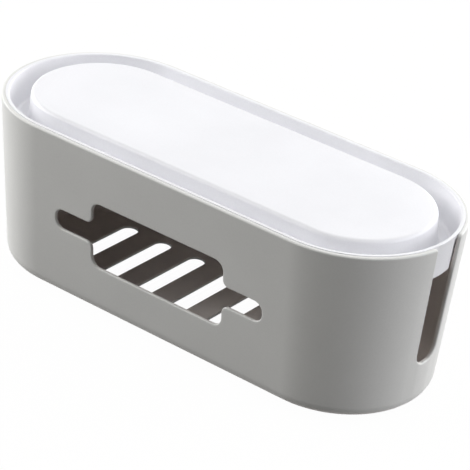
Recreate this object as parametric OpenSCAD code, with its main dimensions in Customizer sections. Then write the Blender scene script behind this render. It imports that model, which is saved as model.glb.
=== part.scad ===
// Cable management box: an open-topped box with round ends and a tray-shaped
// lift-off lid. The origin is at the centre of the footprint, on the table.
// X runs along the box, with the cord notch at +X. The window faces -Y. Z is up.

/* [Box] */
// Length of the box at its rim
box_length = 320; // [260:5:420]
// Width of the box at its rim
box_width = 130; // [110:5:170]
// Height of the box from the floor's underside to its rim
box_height = 111; // [100:1:150]
// How far each wall leans in between the rim and the floor
wall_lean = 7.8; // [4:0.2:10]
// Thickness of the box's walls
wall_thickness = 2.5; // [2:0.1:3.2]
// Thickness of the floor
floor_thickness = 2; // [1.6:0.1:3]
// Radius of the rounded edge around the bottom
bottom_edge_radius = 9.5; // [6:0.5:12]
// Radius of the softened edges at the rim
rim_edge_radius = 0.8; // [0.3:0.1:1]

/* [Front window] */
// Length of the tall middle part of the window
window_length = 100; // [70:1:120]
// Height of the tall middle part of the window
window_height = 44.5; // [32:0.5:50]
// Radius of the corners of the middle part
window_corner_radius = 6.5; // [3:0.5:8]
// Length of the window over its two side lobes
lobe_length = 158; // [140:1:180]
// Height of the side lobes
lobe_height = 13.5; // [10:0.5:16]
// Radius at the ends of the side lobes
lobe_corner_radius = 6; // [3:0.5:6.5]
// Radius where the lobes meet the middle part
window_inner_radius = 4.5; // [2:0.5:6]
// Height of the window's centre above the floor's underside
window_centre_height = 54.8; // [48:0.2:60]

/* [Cord notch] */
// Width of the notch in the right end
notch_width = 24; // [16:1:30]
// Height of the notch's bottom above the floor's underside
notch_bottom_height = 31; // [22:1:45]
// Radius of the notch's bottom corners
notch_corner_radius = 8; // [4:0.5:8]

/* [Floor vents] */
// Distance from one slot to the next
vent_pitch = 28; // [20:1:36]
// Width of a slot
vent_width = 12; // [8:0.5:14]
// How far the row of slots may reach past the straight part of the box
vent_row_reach = 10; // [4:1:12]
// Distance from a slot's end to where the rounded bottom edge begins
vent_end_margin = 7.2; // [4:0.2:12]

/* [Lid] */
// Gap all round between the lid's rim and the wall
lid_gap = 0.3; // [0.2:0.1:0.6]
// Thickness of the lid's rim
lid_rim_width = 2.1; // [1.6:0.1:2.6]
// Height of the lid's rim above the rim of the box
lid_rim_rise = 1; // [0:0.1:3]
// How far the thick rim reaches below the rim of the box
lid_rim_drop = 3.3; // [2:0.1:6]
// How far the lid reaches into the box
lid_depth = 22; // [16:0.5:26]
// Thickness of the lid's walls, channel floor and top
lid_thickness = 1.8; // [1.4:0.1:2.2]
// How far the channel's outer wall leans in between the rim and the channel floor
channel_lean = 3; // [2:0.2:4]
// Width of the channel at its floor
channel_floor_width = 8.6; // [7:0.2:12]
// Radius at the two lower corners of the channel
channel_corner_radius = 2; // [1:0.5:3]
// How far the raised centre's wall leans in from its foot to its top
centre_lean = 1.8; // [1:0.2:3]
// Height of the raised centre above the rim of the box
centre_rise = 1.2; // [0.5:0.1:4]
// Radius of the raised centre's soft top edge
centre_edge_radius = 2.5; // [1.5:0.5:4]
// How much narrower than the notch the tongue behind it is, on each side
tongue_side_gap = 2.7; // [0.5:0.1:4]

/* [Lid rests] */
// Width of each rest inside the long walls
rest_width = 12; // [8:1:16]
// Height of each rest
rest_height = 12; // [9:1:14]
// Distance from a rest to where the round end begins
rest_end_margin = 4; // [1:0.5:12]
// How far the rests reach in past the lid's outer wall
rest_overlap = 3; // [2:0.5:5]

/* [Feet] */
// Diameter of a foot pad
foot_diameter = 14; // [8:0.5:15]
// How far a foot pad stands out below the floor
foot_height = 2; // [1.5:0.5:4]
// Depth of the seat that a foot pad sits in
foot_seat_depth = 0.4; // [0.2:0.1:0.8]
// Gap around a foot pad in its seat
foot_gap = 0.2; // [0.1:0.1:0.5]
// Distance from a foot's edge to where the rounded bottom edge begins
foot_edge_margin = 3; // [2:0.5:6]
// Distance from a foot to the nearest slot, along the box
foot_vent_margin = 2.3; // [1.5:0.1:4]

/* [Hidden] */
$fn = 96;

// How far cutting shapes run past the faces that they cut
cut_through = 5;

// The box stands on its feet
base_z = foot_height;
rim_z = base_z + box_height;
floor_top_z = base_z + floor_thickness;

// Round ends: centre of each end, and the radii of the outside
end_centre_x = (box_length - box_width) / 2;
rim_radius = box_width / 2;
base_radius = rim_radius - wall_lean;
lean_per_mm = wall_lean / box_height;

// Outside and inside radius of the box at a height
function wall_radius(z) = base_radius + lean_per_mm * (z - base_z);
function inner_radius(z) = wall_radius(z) - wall_thickness;

// Radius where the flat underside ends and the rounded bottom edge begins
flat_radius = base_radius - bottom_edge_radius;

// Window
window_z = base_z + window_centre_height;
window_cut_depth = 2 * (wall_lean + wall_thickness + cut_through);
window_inner_room = (window_height - lobe_height) / 2 - window_corner_radius;
window_inner_fillet = min(window_inner_radius, window_inner_room);

// A corner radius takes up no more than this share of the side that it rounds
corner_share = 0.45;

// Vents: as many as fit the row, and as long as the flat underside allows
vent_row_room = 2 * (end_centre_x + vent_row_reach) - vent_width;
vent_count = floor(vent_row_room / vent_pitch) + 1;
vent_row_end_x = (vent_count - 1) / 2 * vent_pitch + vent_width / 2;
vent_length = 2 * (flat_radius - vent_end_margin);

// Lid levels
lid_rim_top_z = rim_z + lid_rim_rise;
lid_step_z = rim_z - lid_rim_drop;
lid_bottom_z = rim_z - lid_depth;
channel_floor_z = lid_bottom_z + lid_thickness;
centre_top_z = rim_z + centre_rise;

// Lid radii, from the outside in. The rim follows the leaning wall.
function lid_fit_radius(z) = inner_radius(z) - lid_gap;
channel_top_radius = lid_fit_radius(rim_z) - lid_rim_width;
channel_foot_radius = channel_top_radius - channel_lean;
centre_foot_radius = channel_foot_radius - channel_floor_width;
centre_top_radius = centre_foot_radius - centre_lean;

// Radius of the channel's inner face at a height
channel_slope = channel_lean / (lid_rim_top_z - channel_floor_z);
function channel_radius(z) = channel_foot_radius + channel_slope * (z - channel_floor_z);
function lid_outer_radius(z) = channel_radius(z) + lid_thickness;

// Underside of the raised centre: one wall thickness inside its outside
centre_slope = centre_lean / (centre_top_z - channel_floor_z);
function hollow_radius(z) = centre_top_radius + centre_slope * (centre_top_z - z) - lid_thickness;
hollow_top_z = centre_top_z - lid_thickness;
hollow_edge_radius = max(centre_edge_radius - lid_thickness, 0.5);
lid_outer_corner_radius = channel_corner_radius + lid_thickness;

// Tongue
tongue_width = notch_width - 2 * tongue_side_gap;
lid_corner_top_z = lid_bottom_z + lid_outer_corner_radius;
// How far the tongue is sunk into the channel's wall that carries it
tongue_overlap = 0.2;

// Lid rests
rest_offset = end_centre_x - rest_end_margin - rest_width / 2;
rest_top_z = lid_bottom_z;
rest_tip_radius = lid_outer_radius(lid_bottom_z) - lid_outer_corner_radius - rest_overlap;
rest_toe_height = 2;

// Feet
foot_ring_radius = flat_radius - foot_edge_margin - foot_diameter / 2;
foot_x = vent_row_end_x + foot_vent_margin + foot_diameter / 2;
foot_y = sqrt(pow(foot_ring_radius, 2) - pow(foot_x - end_centre_x, 2));

// Corner rounding: how far the arc starts from the corner, and its centre
function unit(v) = v / norm(v);
function cross_z(a, b) = a[0] * b[1] - a[1] * b[0];
function corner_turn(a, b, c) = cross_z(b - a, c - b);
function half_angle(a, b, c) = acos(unit(a - b) * unit(c - b)) / 2;
function arc_start(a, b, c, r) = b + unit(a - b) * r / tan(half_angle(a, b, c));
function arc_centre(a, b, c, r) =
    b + unit(unit(a - b) + unit(c - b)) * r / sin(half_angle(a, b, c));

// A polygon, drawn anticlockwise, whose corners are true arcs. A radius of 0 keeps a corner sharp.
module rounded_outline(points, radii) {
    last = len(points) - 1;
    function before(i) = points[i == 0 ? last : i - 1];
    function after(i) = points[i == last ? 0 : i + 1];
    function arc_from(i) = arc_start(before(i), points[i], after(i), radii[i]);
    function arc_to(i) = arc_start(after(i), points[i], before(i), radii[i]);
    function centre(i) = arc_centre(before(i), points[i], after(i), radii[i]);
    function turns_left(i) = corner_turn(before(i), points[i], after(i)) > 0;
    module disc(i) {
        translate(centre(i)) circle(radii[i]);
    }
    difference() {
        union() {
            polygon([for (i = [0 : last])
                each radii[i] == 0 ? [points[i]] : [arc_from(i), arc_to(i)]]);
            // An outward corner gains the slice between its arc and the line across it
            for (i = [0 : last]) if (radii[i] > 0 && turns_left(i))
                intersection() {
                    polygon([arc_from(i), points[i], arc_to(i)]);
                    disc(i);
                }
        }
        // An inward corner loses the sector of its arc
        for (i = [0 : last]) if (radii[i] > 0 && !turns_left(i))
            intersection() {
                polygon([arc_from(i), points[i], arc_to(i), centre(i)]);
                disc(i);
            }
    }
}

// Sweeps a section, drawn as radius and height, around the box's outline with its round ends
module sweep_round_ended() {
    for (side = [-1, 1])
        translate([side * end_centre_x, 0, 0])
            rotate([0, 0, -90 * side])
                rotate_extrude(angle = 180) children();
    translate([-end_centre_x, 0, 0]) rotate([90, 0, 90])
        linear_extrude(2 * end_centre_x) {
            children();
            mirror([1, 0]) children();
        }
}

// A rounded rectangle centred on the origin
module rounded_rectangle(length, height, corner) {
    radius = min(corner, corner_share * length, corner_share * height);
    square([length - 2 * radius, height], center = true);
    square([length, height - 2 * radius], center = true);
    for (x = [-1, 1], y = [-1, 1])
        translate([x * (length / 2 - radius), y * (height / 2 - radius)]) circle(radius);
}

// Section of the box: outside, rim, inside and floor
module box_section() {
    rounded_outline(
        [[0, base_z],
         [base_radius, base_z],
         [rim_radius, rim_z],
         [rim_radius - wall_thickness, rim_z],
         [inner_radius(floor_top_z), floor_top_z],
         [0, floor_top_z]],
        [0, bottom_edge_radius, rim_edge_radius, rim_edge_radius,
         bottom_edge_radius - wall_thickness, 0]);
}

// Outline of the front window, in length and height
module window_outline() {
    rounded_rectangle(window_length, window_height, window_corner_radius);
    rounded_rectangle(lobe_length, lobe_height, lobe_corner_radius);
    for (x = [0, 1], y = [0, 1]) mirror([x, 0]) mirror([0, y])
        translate([window_length / 2, lobe_height / 2])
            difference() {
                square(window_inner_fillet);
                translate([window_inner_fillet, window_inner_fillet]) circle(window_inner_fillet);
            }
}

module front_window() {
    translate([0, -rim_radius + window_cut_depth / 2, window_z]) rotate([90, 0, 0])
        linear_extrude(window_cut_depth) window_outline();
}

// The notch is open at the rim and cuts only the right end
module cord_notch() {
    radius = min(notch_corner_radius, corner_share * notch_width);
    notch_height = rim_z + cut_through - (base_z + notch_bottom_height);
    straight_height = notch_height - radius;
    translate([end_centre_x + flat_radius, 0, rim_z + cut_through]) rotate([90, 0, 90])
        linear_extrude(box_length / 2) {
            translate([-notch_width / 2, -straight_height])
                square([notch_width, straight_height]);
            translate([radius - notch_width / 2, -notch_height])
                square([notch_width - 2 * radius, notch_height]);
            for (side = [-1, 1])
                translate([side * (notch_width / 2 - radius), -straight_height])
                    circle(radius);
        }
}

module vent_slot() {
    translate([0, 0, base_z - cut_through])
        linear_extrude(floor_thickness + 2 * cut_through) {
            square([vent_width, vent_length - vent_width], center = true);
            for (side = [-1, 1])
                translate([0, side * (vent_length - vent_width) / 2]) circle(d = vent_width);
        }
}

// A wedge-shaped rest on the inside of a long wall, with its flat top under the lid
module lid_rest() {
    wall_y = (inner_radius(rest_top_z) + wall_radius(rest_top_z)) / 2;
    toe_y = (inner_radius(rest_top_z - rest_height) + wall_radius(rest_top_z - rest_height)) / 2;
    translate([-rest_width / 2, 0, 0]) rotate([90, 0, 90])
        linear_extrude(rest_width)
            polygon([[toe_y, rest_top_z - rest_height],
                     [wall_y, rest_top_z],
                     [rest_tip_radius, rest_top_z],
                     [rest_tip_radius, rest_top_z - rest_toe_height]]);
}

module each_foot_place() {
    for (x = [-1, 1], y = [-1, 1]) translate([x * foot_x, y * foot_y, 0]) children();
}

module box_body() {
    color([0.87, 0.87, 0.84]) difference() {
        union() {
            sweep_round_ended() box_section();
            for (x = [-1, 1], y = [0, 1])
                mirror([0, y, 0]) translate([x * rest_offset, 0, 0]) lid_rest();
        }
        front_window();
        cord_notch();
        for (i = [0 : vent_count - 1])
            translate([(i - (vent_count - 1) / 2) * vent_pitch, 0, 0]) vent_slot();
        each_foot_place()
            translate([0, 0, base_z - cut_through])
                cylinder(d = foot_diameter + 2 * foot_gap, h = foot_seat_depth + cut_through);
    }
}

// Section of the lid: rim, step, outer wall, underside, hollow centre, top and channel
module lid_section() {
    rounded_outline(
        [[0, hollow_top_z],
         [hollow_radius(hollow_top_z), hollow_top_z],
         [hollow_radius(lid_bottom_z), lid_bottom_z],
         [lid_outer_radius(lid_bottom_z), lid_bottom_z],
         [lid_outer_radius(lid_step_z), lid_step_z],
         [lid_fit_radius(lid_step_z), lid_step_z],
         [lid_fit_radius(lid_rim_top_z), lid_rim_top_z],
         [channel_radius(lid_rim_top_z), lid_rim_top_z],
         [channel_foot_radius, channel_floor_z],
         [centre_foot_radius, channel_floor_z],
         [centre_top_radius, centre_top_z],
         [0, centre_top_z]],
        [0, hollow_edge_radius, 0, lid_outer_corner_radius, 0, 0,
         rim_edge_radius, rim_edge_radius, channel_corner_radius, channel_corner_radius,
         centre_edge_radius, 0]);
}

// Section of a band that follows the wall from the lid's step down to its underside
module tongue_section() {
    polygon([[lid_outer_radius(lid_step_z) - tongue_overlap, lid_step_z],
             [lid_outer_radius(lid_corner_top_z) - tongue_overlap, lid_corner_top_z],
             [lid_outer_radius(lid_bottom_z) - lid_outer_corner_radius, lid_bottom_z],
             [lid_fit_radius(lid_bottom_z), lid_bottom_z],
             [lid_fit_radius(lid_step_z), lid_step_z]]);
}

// The tongue is the part of that band that hangs behind the cord notch
module lid_tongue() {
    intersection() {
        translate([end_centre_x, 0, 0]) rotate([0, 0, -90])
            rotate_extrude(angle = 180) tongue_section();
        translate([end_centre_x, -tongue_width / 2, base_z])
            cube([rim_radius, tongue_width, box_height]);
    }
}

module lid() {
    color([0.95, 0.95, 0.97]) {
        sweep_round_ended() lid_section();
        lid_tongue();
    }
}

// A flat round pad. The four differ only in their place.
module foot(x_side, y_side) {
    color([0.25, 0.25, 0.26])
        translate([x_side * foot_x, y_side * foot_y, 0])
            cylinder(d = foot_diameter, h = foot_height + foot_seat_depth);
}

box_body();
lid();
foot(-1, -1);  // foot_front_left
foot(1, -1);  // foot_front_right
foot(-1, 1);  // foot_back_left
foot(1, 1);  // foot_back_right
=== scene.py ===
from math import acos, cos, hypot, pi, radians, sin, tan

import bmesh
import bpy
from mathutils import Matrix, Vector


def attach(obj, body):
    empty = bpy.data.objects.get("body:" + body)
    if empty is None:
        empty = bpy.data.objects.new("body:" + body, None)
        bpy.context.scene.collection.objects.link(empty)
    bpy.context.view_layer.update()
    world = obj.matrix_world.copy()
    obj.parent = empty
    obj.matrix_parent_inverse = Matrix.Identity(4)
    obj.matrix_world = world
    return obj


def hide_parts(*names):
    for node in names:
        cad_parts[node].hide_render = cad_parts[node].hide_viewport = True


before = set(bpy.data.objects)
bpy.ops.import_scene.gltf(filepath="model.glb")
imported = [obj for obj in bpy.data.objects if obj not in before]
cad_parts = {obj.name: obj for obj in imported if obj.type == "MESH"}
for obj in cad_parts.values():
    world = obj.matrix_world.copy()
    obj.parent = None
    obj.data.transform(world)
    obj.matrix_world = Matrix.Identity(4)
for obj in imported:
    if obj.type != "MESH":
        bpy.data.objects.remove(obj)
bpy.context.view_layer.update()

MM = 0.001

# ---------------------------------------------------------------- sizes, in millimetres
# Points closer together than touching are one point. A point nearer to a cutting plane
# than cut_snap lies on it.
touching, cut_snap = 0.01, 0.0001

# The box. Its straight part ends at +-end_x, and its ends are round about (+-end_x, 0).
# The radius of a wall is its distance from the line between these two points.
end_x = 95.0
base_z, rim_z = 2.0, 113.0
base_radius, rim_radius = 57.2, 65.0
wall, floor_thick = 2.5, 2.0
bottom_rounding, floor_rounding = 9.5, 7.0
flat_radius = 47.4
lean = (rim_radius - base_radius) / (rim_z - base_z)
floor_top_z = base_z + floor_thick

# The turns of the sweep around each end, as angles in degrees and their steps. The right
# end has no column where the sides of the cord notch run, so that their rounding has room.
left_end = [(180.0, 56)]
right_end = [(75.9, 24), (7.35, 1), (13.5, 6), (7.35, 1), (75.9, 24)]

# The cord notch in the right end. Its sides open a little towards the top.
notch_middle_y, notch_half, notch_slant = 0.7, 9.7, radians(1.3)
notch_bottom_z, notch_corner, notch_corner_steps = 32.6, 8.0, 6

# The rounding of the rim and the notch, outside and inside, and of the corners between them.
lip_rounding, lip_inner_rounding, lip_corner = 1.2, 0.2, 2.2

# The front window: a tall middle with a lobe at each side, and the radii of its corners.
window_z = 56.8
window_half = (50.0, 22.25)
lobe_half = (79.0, 6.75)
window_corner, lobe_corner, window_inner_corner = 6.5, 6.0, 4.5
window_rounding = 0.8

# The floor slots: their places along the box, and half their width and length.
slot_count, slot_pitch = 8, 28.0
slot_places = [(i - (slot_count - 1) / 2) * slot_pitch for i in range(slot_count)]
slot_half = (6.0, 40.5)
slot_rounding = 0.35

# The lid's heights. Its rim is thick down to lid_step_z.
lid_bottom_z, lid_rim_top_z, lid_step_z = 91.0, 113.3, 109.7
channel_floor_z, centre_top_z, hollow_top_z = 92.8, 114.2, 112.4
lid_thick = 1.8

# Its radii, from the outside in: the gap around the rim and how much of it closes towards
# the top, the channel's outer wall, the raised centre, and the hollow under the centre.
lid_gap, lid_gap_closing = 0.3, 0.23
channel_foot_radius, channel_lean = 57.1, 3.0
centre_top_radius, centre_foot_radius = 46.7, 48.5
hollow_top_radius, hollow_lean = 44.9, 1.8
plateau_radius = 43.0

# The lid's tongue: half its width, and the radius and height of each corner of its inside.
tongue_half = 9.9
tongue_top_z = lid_step_z + 2
tongue_inside = [(54.8, lid_bottom_z), (57.9, 94.8), (60.3, tongue_top_z)]
tongue_rounding = 0.3

# The rests for the lid. Their backs are sunk into the walls.
rest_x, rest_width, rest_height = 85.0, 12.0, 12.0
rest_tip_radius, rest_toe, rest_sunk, rest_rounding = 51.85, 2.0, 1.0, 0.5

# The foot pads, each in a shallow seat.
foot_x = {"left": -113.3, "right": 113.3}
foot_y = {"front": -32.96, "back": 32.96}
foot_radius, foot_gap, foot_seat, foot_rounding = 7.0, 0.2, 0.4, 0.5
foot_tall = base_z + foot_seat

# ---------------------------------------------------------------- colours, as screen levels
# The second box colour is painted light: the inside of the box is the same plastic, painted paler
# and warmer to stand in for the warm light bouncing inside it and glowing through its cut edges.
box_colour, box_inside_painted_light_colour = (235, 235, 232), (253, 244, 238)
lid_colour = (248, 248, 251)
rubber_colour, dust_colour = (52, 52, 54), (74, 73, 73)
floor_colour = (108, 106, 103)


def wall_radius(z):
    return base_radius + lean * (z - base_z)


def inner_radius(z):
    return wall_radius(z) - wall


def lid_fit_radius(z):
    """The outside of the lid's rim. Its play inside the box narrows towards the top."""
    up = max(0.0, z - lid_step_z) / (lid_rim_top_z - lid_step_z)
    return inner_radius(z) - lid_gap + lid_gap_closing * up


def channel_radius(z):
    up = (z - channel_floor_z) / (lid_rim_top_z - channel_floor_z)
    return channel_foot_radius + channel_lean * up


def hollow_radius(z):
    down = (centre_top_z - z) / (centre_top_z - channel_floor_z)
    return hollow_top_radius + hollow_lean * down


# ---------------------------------------------------------------- modelling helpers
def spine_distance(at):
    """How far a point is from the line between the two end centres, seen from above."""
    return hypot(max(abs(at.x) - end_x, 0.0), at.y)


def verts_of(geom):
    return [g for g in geom if isinstance(g, bmesh.types.BMVert)]


def edges_of(geom):
    return [g for g in geom if isinstance(g, bmesh.types.BMEdge)]


def faces_of(geom):
    return [g for g in geom if isinstance(g, bmesh.types.BMFace)]


def once(*groups):
    """The members of the groups, each once and in order."""
    return list(dict.fromkeys(member for group in groups for member in group))


def edges_at(verts):
    return once(*(vert.link_edges for vert in verts))


def sharp_edges(bm, degrees):
    """The edges whose faces meet at more than an angle."""
    return [e for e in bm.edges if e.calc_face_angle(0) > radians(degrees)]


def wire(bm, points):
    """An open chain of edges through the points."""
    verts = [bm.verts.new(p) for p in points]
    for a, b in zip(verts, verts[1:]):
        bm.edges.new((a, b))
    return verts


def round_corner(bm, vert, radius, segments):
    """Rounds one corner of a chain or of a flat face with an arc of the given radius."""
    ways = [(e.other_vert(vert).co - vert.co).normalized() for e in vert.link_edges]
    half = acos(max(-1.0, min(1.0, ways[0].dot(ways[1])))) / 2
    bmesh.ops.bevel(bm, geom=[vert], offset=radius / tan(half), offset_type="OFFSET",
                    segments=segments, profile=0.5, affect="VERTICES", material=-1)


def soften(bm, edges, radius, segments=3, keep_room=True):
    """Rounds edges between faces. keep_room stops a radius that would run into a neighbour."""
    bmesh.ops.recalc_face_normals(bm, faces=bm.faces)
    bmesh.ops.bevel(bm, geom=list(edges), offset=radius, offset_type="OFFSET",
                    segments=segments, profile=0.5, affect="EDGES", clamp_overlap=keep_room,
                    material=-1)


def draw_section(bm, corners):
    """Draws a section in the XZ plane. Each corner is a radius and a height, then the radius
    and the steps of its rounding. A rounding of 0 keeps the corner sharp."""
    verts = wire(bm, [(radius, 0.0, z) for radius, z, _, _ in corners])
    for vert, (_, _, rounding, steps) in zip(verts, corners):
        if rounding:
            round_corner(bm, vert, rounding, steps)


def spin(bm, edges, centre_x, angle, steps):
    """Spins edges about the upright line at centre_x and gives the edges at the far end."""
    got = bmesh.ops.spin(bm, geom=edges, cent=(centre_x, 0, 0), axis=(0, 0, 1),
                         dvec=(0, 0, 0), angle=angle, steps=steps, use_merge=False,
                         use_normal_flip=False, use_duplicate=False)
    return edges_of(got["geom_last"])


def slide(bm, edges, distance_x):
    """Extrudes edges along X and gives the edges at the far end."""
    got = bmesh.ops.extrude_edge_only(bm, edges=edges)["geom"]
    bmesh.ops.translate(bm, verts=verts_of(got), vec=(distance_x, 0, 0))
    return edges_of(got)


def sweep_round_ended(bm):
    """Sweeps the section in bm around the round-ended outline."""
    bmesh.ops.transform(bm, verts=bm.verts, matrix=Matrix.Translation((-end_x, 0, 0))
                        @ Matrix.Rotation(-pi / 2, 4, "Z"))
    edges = slide(bm, list(bm.edges), 2 * end_x)
    for angle, steps in right_end:
        edges = spin(bm, edges, end_x, radians(angle), steps)
    edges = slide(bm, edges, -2 * end_x)
    for angle, steps in left_end:
        edges = spin(bm, edges, -end_x, radians(angle), steps)
    bmesh.ops.remove_doubles(bm, verts=bm.verts, dist=touching)


def border_at(bm, z):
    """The open border edges that lie at one height."""
    return [e for e in bm.edges if e.is_boundary
            and all(abs(v.co.z - z) < touching for v in e.verts)]


def outline_ring(bm, corners, radii, margin, place):
    """A flat ring outside a rounded outline: gives its outer edges and the edges of its hole.
    The corners and radii are those of the ring's outside, in the XY plane, before it is placed."""
    before = set(bm.verts)
    face = bm.faces.new([bm.verts.new((x, y, 0)) for x, y in corners])
    for vert, radius in zip(list(face.verts), radii):
        round_corner(bm, vert, radius, segments=8)
    new = [v for v in bm.verts if v not in before]
    bmesh.ops.remove_doubles(bm, verts=new, dist=touching)
    new = [v for v in bm.verts if v not in before]
    face = new[0].link_faces[0]
    bmesh.ops.inset_region(bm, faces=[face], thickness=margin, depth=0, use_even_offset=True,
                           use_boundary=True)
    new = [v for v in bm.verts if v not in before]
    outside = [e for e in edges_at(new) if e.is_boundary]
    hole = list(face.edges)
    bmesh.ops.delete(bm, geom=[face], context="FACES_ONLY")
    bmesh.ops.transform(bm, verts=new, matrix=place)
    return outside, hole


def add_to(bm, other):
    """Adds the geometry of one bmesh to another."""
    mesh = bpy.data.meshes.new("carry")
    other.to_mesh(mesh)
    other.free()
    bm.from_mesh(mesh)
    bpy.data.meshes.remove(mesh)


def finish_piece(bm, name, body, node_names):
    """Makes the finished object: millimetres to metres, smooth faces, riding on its body."""
    bmesh.ops.recalc_face_normals(bm, faces=bm.faces)
    bmesh.ops.scale(bm, vec=(MM, MM, MM), verts=bm.verts)
    mesh = bpy.data.meshes.new(name)
    bm.to_mesh(mesh)
    bm.free()
    for poly in mesh.polygons:
        poly.use_smooth = True
    piece = bpy.data.objects.new(name, mesh)
    bpy.context.scene.collection.objects.link(piece)
    modifier = piece.modifiers.new("even shading", "WEIGHTED_NORMAL")
    modifier.mode, modifier.weight, modifier.keep_sharp = "FACE_AREA", 50, False
    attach(piece, body)
    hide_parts(*node_names)
    return piece


# ---------------------------------------------------------------- the box
def notch_planes():
    """The planes that bound the notch, from its two sides around its corners to its bottom.
    Each is a point on it and the way out of the notch."""
    planes = []
    for turn in range(notch_corner_steps + 1):
        angle = notch_slant + turn * (pi / 2 - notch_slant) / notch_corner_steps
        for side in (-1, 1):
            away = Vector((0, side * cos(angle), -sin(angle)))
            centre = Vector((0, notch_middle_y + side * (notch_half - notch_corner),
                             notch_bottom_z + notch_corner))
            planes.append((centre + away * notch_corner, away))
    return planes


def cut_notch(bm):
    """Takes the cord notch out of the right end, gives it walls, and rounds it and the rim."""
    tip_x, cut_from_z, wall_foot_z = end_x + 30, base_z + 6, base_z + 12
    inside = [f for f in bm.faces if f.calc_center_median().x > tip_x
              and f.calc_center_median().z > cut_from_z]
    for point, away in notch_planes():
        frames = once(*(f.edges for f in inside), *(f.verts for f in inside))
        got = bmesh.ops.bisect_plane(bm, geom=inside + frames, dist=cut_snap,
                                     plane_co=point, plane_no=away)
        inside = [f for f in faces_of(got["geom"])
                  if (f.calc_center_median() - point).dot(away) < 0]
    bmesh.ops.delete(bm, geom=inside, context="FACES")

    # The planes also cut the walls around the notch, where their lines are taken out again.
    corners_top_z = notch_bottom_z + notch_corner + 5
    around = [v for v in bm.verts if v.co.x > tip_x and wall_foot_z < v.co.z < corners_top_z]
    bmesh.ops.dissolve_limit(bm, angle_limit=radians(0.5), verts=around, edges=edges_at(around))

    edge = [e for e in bm.edges if e.is_boundary and e.verts[0].co.z > wall_foot_z]
    across = [e for e in edge if all(v.co.z > rim_z - touching for v in e.verts)]
    bmesh.ops.bridge_loops(bm, edges=[e for e in edge if e not in across])
    soften(bm, across, lip_corner, segments=6, keep_room=False)
    sharp = [e for e in sharp_edges(bm, 35) if all(v.co.z > wall_foot_z for v in e.verts)]
    middle = [(e, (e.verts[0].co + e.verts[1].co) / 2) for e in sharp]
    outer = [e for e, at in middle if spine_distance(at) > wall_radius(at.z) - wall / 2]
    inner = [e for e in sharp if e not in outer]
    soften(bm, outer, lip_rounding, segments=6, keep_room=False)
    soften(bm, [e for e in inner if e.is_valid], lip_inner_rounding, keep_room=False)


def cut_window(bm):
    """Opens the window in the two faces of the flat front wall and softens its edges."""
    margin = 2.0
    a, b = (half + margin for half in window_half)
    c, d = (half + margin for half in lobe_half)
    corners = [(-a, -b), (a, -b), (a, -d), (c, -d), (c, d), (a, d),
               (a, b), (-a, b), (-a, d), (-c, d), (-c, -d), (-a, -d)]
    tall, lobe = window_corner + margin, lobe_corner + margin
    inner = window_inner_corner - margin
    radii = [tall, tall, inner, lobe, lobe, inner] * 2
    upright = Matrix.Translation((0, 0, window_z)) @ Matrix.Rotation(pi / 2, 4, "X")
    panels = sorted((f for f in bm.faces if f.calc_center_median().y < 0),
                    key=lambda f: -f.calc_area())[:2]
    holes = []
    for panel in panels:
        middle = panel.calc_center_median()
        offset = -middle.y - wall_radius(middle.z)
        border = list(panel.edges)
        bmesh.ops.delete(bm, geom=[panel], context="FACES_ONLY")
        onto_wall = Matrix(((1, 0, 0, 0), (0, 1, -lean, -(base_radius + offset - lean * base_z)),
                            (0, 0, 1, 0), (0, 0, 0, 1)))
        rim, hole = outline_ring(bm, corners, radii, margin, onto_wall @ upright)
        bmesh.ops.triangle_fill(bm, edges=border + rim, use_beauty=True, use_dissolve=False)
        holes += hole
    bmesh.ops.bridge_loops(bm, edges=holes)
    soften(bm, holes, window_rounding)


def cut_foot_seat(bm, x, y):
    """A shallow round seat for a foot pad: gives the edges of its mouth."""
    mouth = bmesh.ops.create_circle(bm, segments=48, radius=foot_radius + foot_gap,
                                    matrix=Matrix.Translation((x, y, base_z)))
    mouth = edges_at(mouth["verts"])
    raised = bmesh.ops.extrude_edge_only(bm, edges=mouth)["geom"]
    bmesh.ops.translate(bm, verts=verts_of(raised), vec=(0, 0, foot_seat))
    bmesh.ops.edgeloop_fill(bm, edges=edges_of(raised))
    return mouth


def fill_floor(bm):
    """Fills the floor's two faces, with the slots through them and a seat for each foot pad."""
    margin = 1.2
    a, b = (half + margin for half in slot_half)
    corners = [(-a, -b), (a, -b), (a, b), (-a, b)]
    radii = [a - 0.1 * touching] * 4
    through = []
    for z in (base_z, floor_top_z):
        edges = border_at(bm, z)
        for x in slot_places:
            rim, hole = outline_ring(bm, corners, radii, margin, Matrix.Translation((x, 0, z)))
            edges += rim
            through.append(hole)
        if z == base_z:
            for x in foot_x.values():
                for y in foot_y.values():
                    edges += cut_foot_seat(bm, x, y)
        bmesh.ops.triangle_fill(bm, edges=edges, use_beauty=True, use_dissolve=False)
    for below, above in zip(through[:slot_count], through[slot_count:]):
        bmesh.ops.bridge_loops(bm, edges=below + above)
    soften(bm, [e for hole in through for e in hole], slot_rounding, segments=2)


def add_lid_rests(bm):
    """The four wedge-shaped rests inside the long walls."""
    high, low = lid_bottom_z, lid_bottom_z - rest_height
    outline = [(inner_radius(low) + rest_sunk, low), (inner_radius(high) + rest_sunk, high),
               (rest_tip_radius, high), (rest_tip_radius, high - rest_toe)]
    for x in (-rest_x, rest_x):
        for side in (-1, 1):
            face = bm.faces.new([bm.verts.new((x - rest_width / 2, side * y, z))
                                 for y, z in outline])
            got = bmesh.ops.extrude_face_region(bm, geom=[face])["geom"]
            bmesh.ops.translate(bm, verts=verts_of(got), vec=(rest_width, 0, 0))
            block = once(*(f.edges for f in [face, *faces_of(got)]), edges_at(face.verts))
            soften(bm, block, rest_rounding, segments=2)


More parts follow.
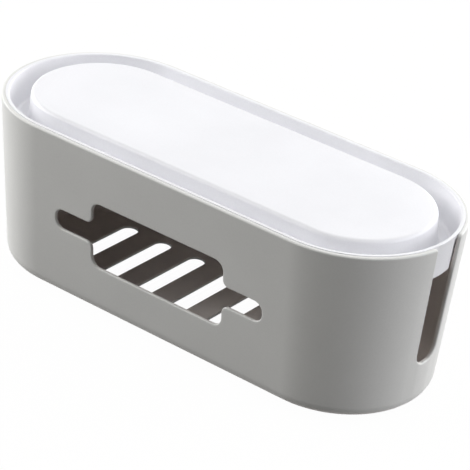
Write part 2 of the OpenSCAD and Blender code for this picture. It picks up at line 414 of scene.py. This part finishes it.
def make_box():
    bm = bmesh.new()
    draw_section(bm, [
        (flat_radius, base_z, 0, 0),
        (base_radius, base_z, bottom_rounding, 10),
        (rim_radius, rim_z, 0, 0),
        (rim_radius - wall, rim_z, 0, 0),
        (inner_radius(floor_top_z), floor_top_z, floor_rounding, 8),
        (flat_radius, floor_top_z, 0, 0)])
    sweep_round_ended(bm)
    cut_notch(bm)
    cut_window(bm)
    fill_floor(bm)
    add_lid_rests(bm)
    return finish_piece(bm, "box_shell", "box", ["box_body"])


# ---------------------------------------------------------------- the lid
def add_tongue(bm):
    """The band of wall that hangs behind the cord notch."""
    outline = [(lid_fit_radius(tongue_top_z), tongue_top_z),
               (lid_fit_radius(lid_bottom_z), lid_bottom_z), *tongue_inside]
    part = bmesh.new()
    verts = wire(part, [(radius, 0, z) for radius, z in outline])
    part.edges.new((verts[-1], verts[0]))
    reach = radians(14)
    bmesh.ops.rotate(part, verts=part.verts, cent=(0, 0, 0),
                     matrix=Matrix.Rotation(-reach, 3, "Z"))
    spin(part, list(part.edges), centre_x=0, angle=2 * reach, steps=16)
    bmesh.ops.translate(part, verts=part.verts, vec=(end_x, 0, 0))
    for side in (-1, 1):
        got = bmesh.ops.bisect_plane(part, geom=[*part.verts, *part.edges, *part.faces],
                                     dist=cut_snap, plane_co=(0, side * tongue_half, 0),
                                     plane_no=(0, side, 0), clear_outer=True)
        bmesh.ops.edgeloop_fill(part, edges=edges_of(got["geom_cut"]))
    soften(part, sharp_edges(part, 40), tongue_rounding, segments=2)
    add_to(bm, part)


def make_lid():
    bm = bmesh.new()
    draw_section(bm, [
        (plateau_radius, centre_top_z, 0, 0),
        (centre_top_radius, centre_top_z, 2.5, 8),
        (centre_foot_radius, channel_floor_z, 2.0, 6),
        (channel_foot_radius, channel_floor_z, 2.0, 6),
        (channel_radius(lid_rim_top_z), lid_rim_top_z, 0.9, 4),
        (lid_fit_radius(lid_rim_top_z), lid_rim_top_z, 0.15, 3),
        (lid_fit_radius(lid_step_z), lid_step_z, 0.2, 2),
        (channel_radius(lid_step_z) + lid_thick, lid_step_z, 0.2, 2),
        (channel_radius(lid_bottom_z) + lid_thick, lid_bottom_z, 3.8, 6),
        (hollow_radius(lid_bottom_z), lid_bottom_z, 0.4, 3),
        (hollow_radius(hollow_top_z), hollow_top_z, 0.7, 3),
        (plateau_radius, hollow_top_z, 0, 0)])
    sweep_round_ended(bm)
    for z in (centre_top_z, hollow_top_z):
        bmesh.ops.edgeloop_fill(bm, edges=border_at(bm, z))
    add_tongue(bm)
    return finish_piece(bm, "lid_tray", "lid", ["lid"])


# ---------------------------------------------------------------- the feet
def make_foot(x, y, name, node):
    bm = bmesh.new()
    bmesh.ops.create_cone(bm, cap_ends=True, segments=64, radius1=foot_radius,
                          radius2=foot_radius, depth=foot_tall,
                          matrix=Matrix.Translation((x, y, foot_tall / 2)))
    lower = [e for e in bm.edges if all(v.co.z < touching for v in e.verts)]
    soften(bm, lower, foot_rounding, segments=4)
    return finish_piece(bm, name, "box", [node])


# ---------------------------------------------------------------- finishes
def linear(levels):
    """Levels from 0 to 255, as read on a screen, as linear colour."""
    shares = [level / 255 for level in levels]
    return tuple(s / 12.92 if s <= 0.04045 else ((s + 0.055) / 1.055) ** 2.4 for s in shares)


class Level:
    """One value among the nodes, which plain arithmetic turns into Math nodes."""

    def __init__(self, sheet, socket):
        self.sheet, self.socket = sheet, socket

    def other(self, output):
        """Another output of the node that this value comes from."""
        return Level(self.sheet, self.socket.node.outputs[output])

    def math(self, operation, *values):
        return self.sheet.node("ShaderNodeMath", {"operation": operation}, dict(enumerate(values)))

    def __add__(self, other):
        return self.math("ADD", self, other)

    def __radd__(self, other):
        return self.math("ADD", other, self)

    def __sub__(self, other):
        return self.math("SUBTRACT", self, other)

    def __rsub__(self, other):
        return self.math("SUBTRACT", other, self)

    def __mul__(self, other):
        return self.math("MULTIPLY", self, other)

    def __rmul__(self, other):
        return self.math("MULTIPLY", other, self)

    def __truediv__(self, other):
        return self.math("DIVIDE", self, other)

    def __rtruediv__(self, other):
        return self.math("DIVIDE", other, self)

    def __abs__(self):
        return self.math("ABSOLUTE", self)

    def root(self):
        return self.math("SQRT", self)

    def at_least(self, other):
        return self.math("MAXIMUM", self, other)

    def at_most(self, other):
        return self.math("MINIMUM", self, other)

    def share(self):
        """The value held between 0 and 1."""
        return self.at_least(0.0).at_most(1.0)


class NodeSheet:
    """The nodes of one material, or of the room around the object."""

    def __init__(self, owner):
        owner.use_nodes = True
        self.owner, self.tree = owner, owner.node_tree
        self.tree.nodes.clear()

    def node(self, kind, settings=None, inputs=None, output=0):
        """Adds a node: its settings first, then the values or links of its sockets."""
        made = self.tree.nodes.new(kind)
        for name, value in (settings or {}).items():
            if name == "stops":
                for stop, (place, colour) in zip(made.color_ramp.elements, value):
                    stop.position, stop.color = place, (*colour, 1)
            else:
                setattr(made, name, value)
        for name, value in (inputs or {}).items():
            if isinstance(value, Level):
                self.tree.links.new(value.socket, made.inputs[name])
            else:
                made.inputs[name].default_value = value
        return Level(self, made.outputs[output]) if made.outputs else None

    def ramp(self, value, *stops):
        """A colour that follows a value, through (place, colour) stops."""
        return self.node("ShaderNodeValToRGB", {"stops": stops}, {0: value})

    def noise(self, place, scale, detail, roughness=0.5):
        return self.node("ShaderNodeTexNoise", inputs={"Vector": place, "Scale": scale,
                                                       "Detail": detail, "Roughness": roughness})

    def bump(self, height, strength, distance):
        return self.node("ShaderNodeBump", inputs={"Strength": strength, "Distance": distance,
                                                   "Height": height})


def inside_painted_light_mask(sheet, place):
    """Where painted light goes: 1 on the inner faces of the box and above its floor, 0 on its
    outer faces. It fades through the wall, just above the floor's underside and below the rim."""
    wall_fade, floor_start, floor_fade, rim_fade = 1.8 * MM, 0.7 * MM, 1.0 * MM, 4.0 * MM
    x = sheet.node("ShaderNodeSeparateXYZ", inputs={"Vector": place})
    y, z = x.other("Y"), x.other("Z")
    past_end = (abs(x) - end_x * MM).at_least(0.0)
    distance = (past_end * past_end + y * y).root()
    inner = (z - base_z * MM) * lean + (base_radius - wall) * MM
    within = ((inner - distance) / wall_fade + 1.0).share()
    above_floor = ((z - (base_z * MM + floor_start)) / floor_fade).share()
    below_rim = ((rim_z * MM - z) / rim_fade).share()
    return within * above_floor * below_rim


def moulded_plastic(name, colour, roughness, grain_size, grain_height, painted_inside_light_colour=None):
    """Satin moulded plastic: an even colour with faint drift, and a fine mould grain. An inside
    colour, if given, is painted light: a paler, warmer colour on the inside of the box.
    """
    tone_spread, gloss_spread, speck_share = 0.035, 0.08, 0.3
    sheet = NodeSheet(bpy.data.materials.new(name))
    place = sheet.node("ShaderNodeTexCoord", output="Object")
    drift = sheet.noise(place, scale=14.0, detail=3.0)
    specks = sheet.noise(place, scale=900.0, detail=2.0, roughness=0.6)
    grain = sheet.noise(place, scale=1 / grain_size, detail=2.0)
    tone = drift * (1 - speck_share) + specks * speck_share

    def varied(levels):
        dark = [c * (1 - tone_spread) for c in linear(levels)]
        pale = [min(c * (1 + tone_spread), 1.0) for c in linear(levels)]
        return sheet.ramp(tone, (0.35, dark), (0.65, pale))

    base = varied(colour)
    # Painted light: the inside of the box and the cut faces through its wall take a paler, warmer
    # colour that stands in for bounced and glowing light.
    if painted_inside_light_colour:
        sides = {0: inside_painted_light_mask(sheet, place), 6: base, 7: varied(painted_inside_light_colour)}
        base = sheet.node("ShaderNodeMix", {"data_type": "RGBA"}, sides, output=2)
    shader = sheet.node("ShaderNodeBsdfPrincipled", inputs={
        "Base Color": base, "Roughness": drift * gloss_spread + (roughness - gloss_spread / 2),
        "IOR": 1.49, "Normal": sheet.bump(grain, strength=0.5, distance=grain_height)})
    sheet.node("ShaderNodeOutputMaterial", inputs={"Surface": shader})
    return sheet.owner


def foot_rubber():
    """Dark soft rubber with a dusty face."""
    sheet = NodeSheet(bpy.data.materials.new("soft rubber"))
    place = sheet.node("ShaderNodeTexCoord", output="Object")
    dust = sheet.noise(place, scale=400.0, detail=4.0)
    base = sheet.ramp(dust, (0.3, linear(rubber_colour)), (0.75, linear(dust_colour)))
    shader = sheet.node("ShaderNodeBsdfPrincipled", inputs={
        "Base Color": base, "Roughness": 0.75 + dust * 0.15,
        "Normal": sheet.bump(dust, strength=0.4, distance=0.1 * MM)})
    sheet.node("ShaderNodeOutputMaterial", inputs={"Surface": shader})
    return sheet.owner


def seen_as_background(sheet):
    """1 for the rays that show the background, 0 for those that light the object."""
    seen = sheet.node("ShaderNodeLightPath", output="Is Camera Ray")
    mirrored, through = seen.other("Is Glossy Ray"), seen.other("Is Transmission Ray")
    return (seen + mirrored + through).at_most(1.0)


def studio_floor():
    """A pale floor that the camera sees as white, with the object's soft shadow on it."""
    white_share, white_strength = 0.86, 1.14
    sheet = NodeSheet(bpy.data.materials.new("studio floor"))
    lit = sheet.node("ShaderNodeBsdfDiffuse", inputs={"Color": (*linear(floor_colour), 1)})
    white = sheet.node("ShaderNodeEmission", inputs={"Color": (1, 1, 1, 1),
                                                     "Strength": white_strength})
    shader = sheet.node("ShaderNodeMixShader", inputs={
        0: seen_as_background(sheet) * white_share, 1: lit, 2: white})
    sheet.node("ShaderNodeOutputMaterial", inputs={"Surface": shader})
    return sheet.owner


# ---------------------------------------------------------------- the object
box_shell = make_box()
lid_tray = make_lid()
foot_pads = [make_foot(x, y, "foot_pad_" + side + "_" + end, "foot_" + side + "_" + end)
             for end, x in foot_x.items() for side, y in foot_y.items()]

# The box's inside colour is painted light, paler and warmer than the same plastic outside.
box_shell.data.materials.append(moulded_plastic(
    "box plastic", box_colour, roughness=0.42, grain_size=0.4 * MM, grain_height=0.03 * MM,
    painted_inside_light_colour=box_inside_painted_light_colour))
lid_tray.data.materials.append(moulded_plastic(
    "lid plastic", lid_colour, roughness=0.38, grain_size=0.3 * MM, grain_height=0.02 * MM))
rubber = foot_rubber()
for pad in foot_pads:
    pad.data.materials.append(rubber)

# ---------------------------------------------------------------- floor, lamps and camera
bm = bmesh.new()
bmesh.ops.create_grid(bm, x_segments=1, y_segments=1, size=6.0)
floor_mesh = bpy.data.meshes.new("floor")
bm.to_mesh(floor_mesh)
bm.free()
floor = bpy.data.objects.new("floor", floor_mesh)
floor.data.materials.append(studio_floor())
bpy.context.scene.collection.objects.link(floor)


def soft_lamp(name, place, size, power, aim_z=0.05, colour=(1.0, 1.0, 1.0)):
    """A soft rectangular lamp that points at the middle of the object: metres and watts."""
    lamp = bpy.data.lights.new(name, "AREA")
    lamp.shape, lamp.energy, lamp.color = "RECTANGLE", power, colour
    lamp.size, lamp.size_y = size
    lamp_object = bpy.data.objects.new(name, lamp)
    lamp_object.location = place
    way = Vector((0, 0, aim_z)) - Vector(place)
    lamp_object.rotation_euler = way.to_track_quat("-Z", "Y").to_euler()
    bpy.context.scene.collection.objects.link(lamp_object)


soft_lamp("top lamp", (0.0, 0.1, 1.6), (2.4, 2.0), 13.2, aim_z=0.1)
soft_lamp("left lamp", (-1.8, -0.1, 0.4), (1.2, 0.7), 20.4)
soft_lamp("left front lamp", (-1.1, -0.98, 1.0), (0.8, 0.8), 9.8)
soft_lamp("front lamp", (0.0, -1.4, 1.1), (1.0, 0.8), 1.9)
soft_lamp("right lamp", (1.6, 0.5, 0.5), (0.8, 0.8), 9.8, colour=(0.98, 0.99, 1.04))
soft_lamp("right back lamp", (1.15, 1.1, 0.8), (0.9, 0.9), 8.6)
soft_lamp("back lamp", (0.0, 1.8, 0.7), (1.4, 1.0), 18.0)

# The room: white to the camera and in mirrored light, and all but dark otherwise.
world = bpy.data.worlds.new("studio")
bpy.context.scene.world = world
room = NodeSheet(world)
dim = room.node("ShaderNodeBackground", inputs={"Color": (0.02, 0.02, 0.02, 1)})
white = room.node("ShaderNodeBackground", inputs={"Color": (1, 1, 1, 1)})
around = room.node("ShaderNodeMixShader", inputs={0: seen_as_background(room), 1: dim, 2: white})
room.node("ShaderNodeOutputWorld", inputs={"Surface": around})

# The camera that was fitted to the photo.
camera_data = bpy.data.cameras.new("camera")
camera_data.sensor_width, camera_data.lens = 36.0, 170.42
camera_data.clip_start, camera_data.clip_end = 0.1, 50.0
camera = bpy.data.objects.new("camera", camera_data)
camera.matrix_world = Matrix(((0.781972, -0.356105, 0.511575, 0.698176),
                              (0.617482, 0.330564, -0.713753, -0.958019),
                              (0.085063, 0.874023, 0.478380, 0.700100),
                              (0, 0, 0, 1)))
bpy.context.scene.collection.objects.link(camera)
bpy.context.scene.camera = camera
bpy.context.scene.view_settings.view_transform = "Standard"
